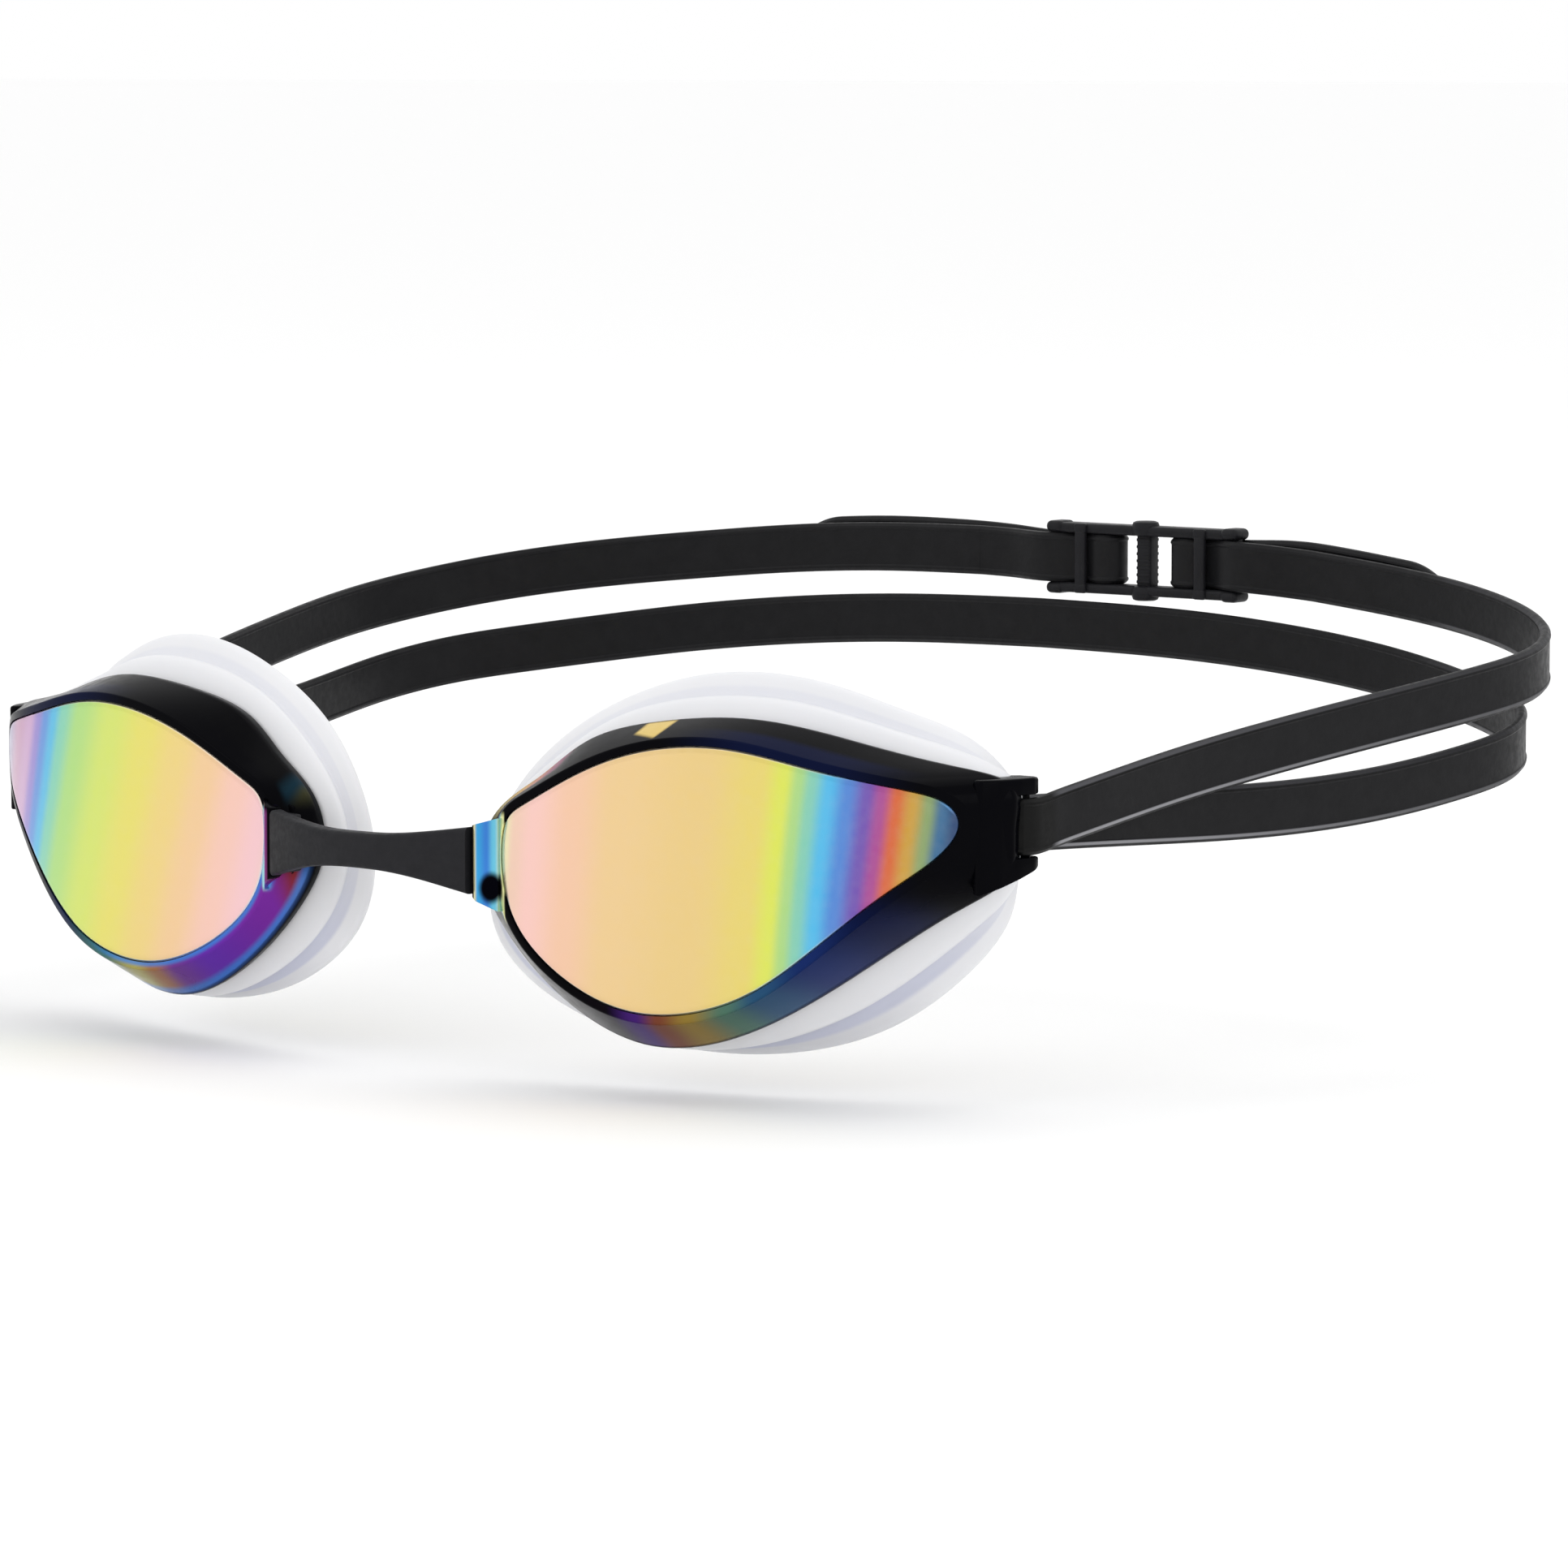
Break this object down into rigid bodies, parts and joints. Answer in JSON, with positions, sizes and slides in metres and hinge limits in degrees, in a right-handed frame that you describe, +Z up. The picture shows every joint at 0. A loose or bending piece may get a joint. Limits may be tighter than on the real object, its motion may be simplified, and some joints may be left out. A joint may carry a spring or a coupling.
{
  "type": "swim goggles",
  "caption": "Racing swim goggles with mirrored curved lenses, dark rims, white face gaskets, a flexible nose bridge and a doubled strap with a ladder buckle.",
  "frame": {"origin": "on the wearer's symmetry plane at bridge height, in the plane where the gaskets' nose edges seal on the face", "axes": "+X to the wearer's left, +Y backwards into the wearer's face and towards the strap, +Z up; the lenses look along -Y"},
  "size_m": [0.183, 0.1398, 0.0536],
  "materials": {
    "mirror_lens": "mirrored",
    "rim_plastic": "gloss",
    "gasket_silicone": "satin",
    "bridge_plastic": "matte",
    "strap_silicone": "satin",
    "buckle_plastic": "matte"
  },
  "bodies": {
    "bridge": {"nose_bridge": "bridge_plastic"},
    "left_cup": {"left_lens": "mirror_lens", "left_rim": "rim_plastic", "left_gasket": "gasket_silicone", "left_strap_fold": "strap_silicone"},
    "right_cup": {"right_lens": "mirror_lens", "right_rim": "rim_plastic", "right_gasket": "gasket_silicone", "right_strap_fold": "strap_silicone"},
    "upper_strap": {"strap_upper_left": "strap_silicone", "strap_upper_right": "strap_silicone"},
    "lower_strap": {"strap_lower": "strap_silicone"},
    "buckle": {"buckle": "buckle_plastic", "strap_end_left": "strap_silicone", "strap_end_right": "strap_silicone"}
  },
  "joints": [
    {"name": "left_cup_flex", "type": "hinge", "parent": "bridge", "child": "left_cup", "pos_m": [0.0166, -0.0093, -0.0004], "axis": [0, 0, 1], "range_deg": [-5, 6], "stiffness_Nm_per_rad": 0.05, "deforming": ["left_strap_fold"]},
    {"name": "right_cup_flex", "type": "hinge", "parent": "bridge", "child": "right_cup", "pos_m": [-0.0166, -0.0093, -0.0004], "axis": [0, 0, -1], "range_deg": [-5, 6], "stiffness_Nm_per_rad": 0.05, "deforming": ["right_strap_fold"]},
    {"name": "upper_strap_spread", "type": "hinge", "parent": "bridge", "child": "upper_strap", "pos_m": [0, 0.0122, 0.00575], "axis": [1, 0, 0], "range_deg": [0, 25], "deforming": ["left_strap_fold", "right_strap_fold"]},
    {"name": "lower_strap_spread", "type": "hinge", "parent": "bridge", "child": "lower_strap", "pos_m": [0, 0.0122, 0.00575], "axis": [1, 0, 0], "range_deg": [-20, 0], "deforming": ["left_strap_fold", "right_strap_fold"]},
    {"name": "buckle_slide", "type": "slide", "parent": "upper_strap", "child": "buckle", "axis": [1, 0, 0], "range_m": [-0.008, 0.008], "deforming": ["strap_end_left", "strap_end_right"]}
  ]
}
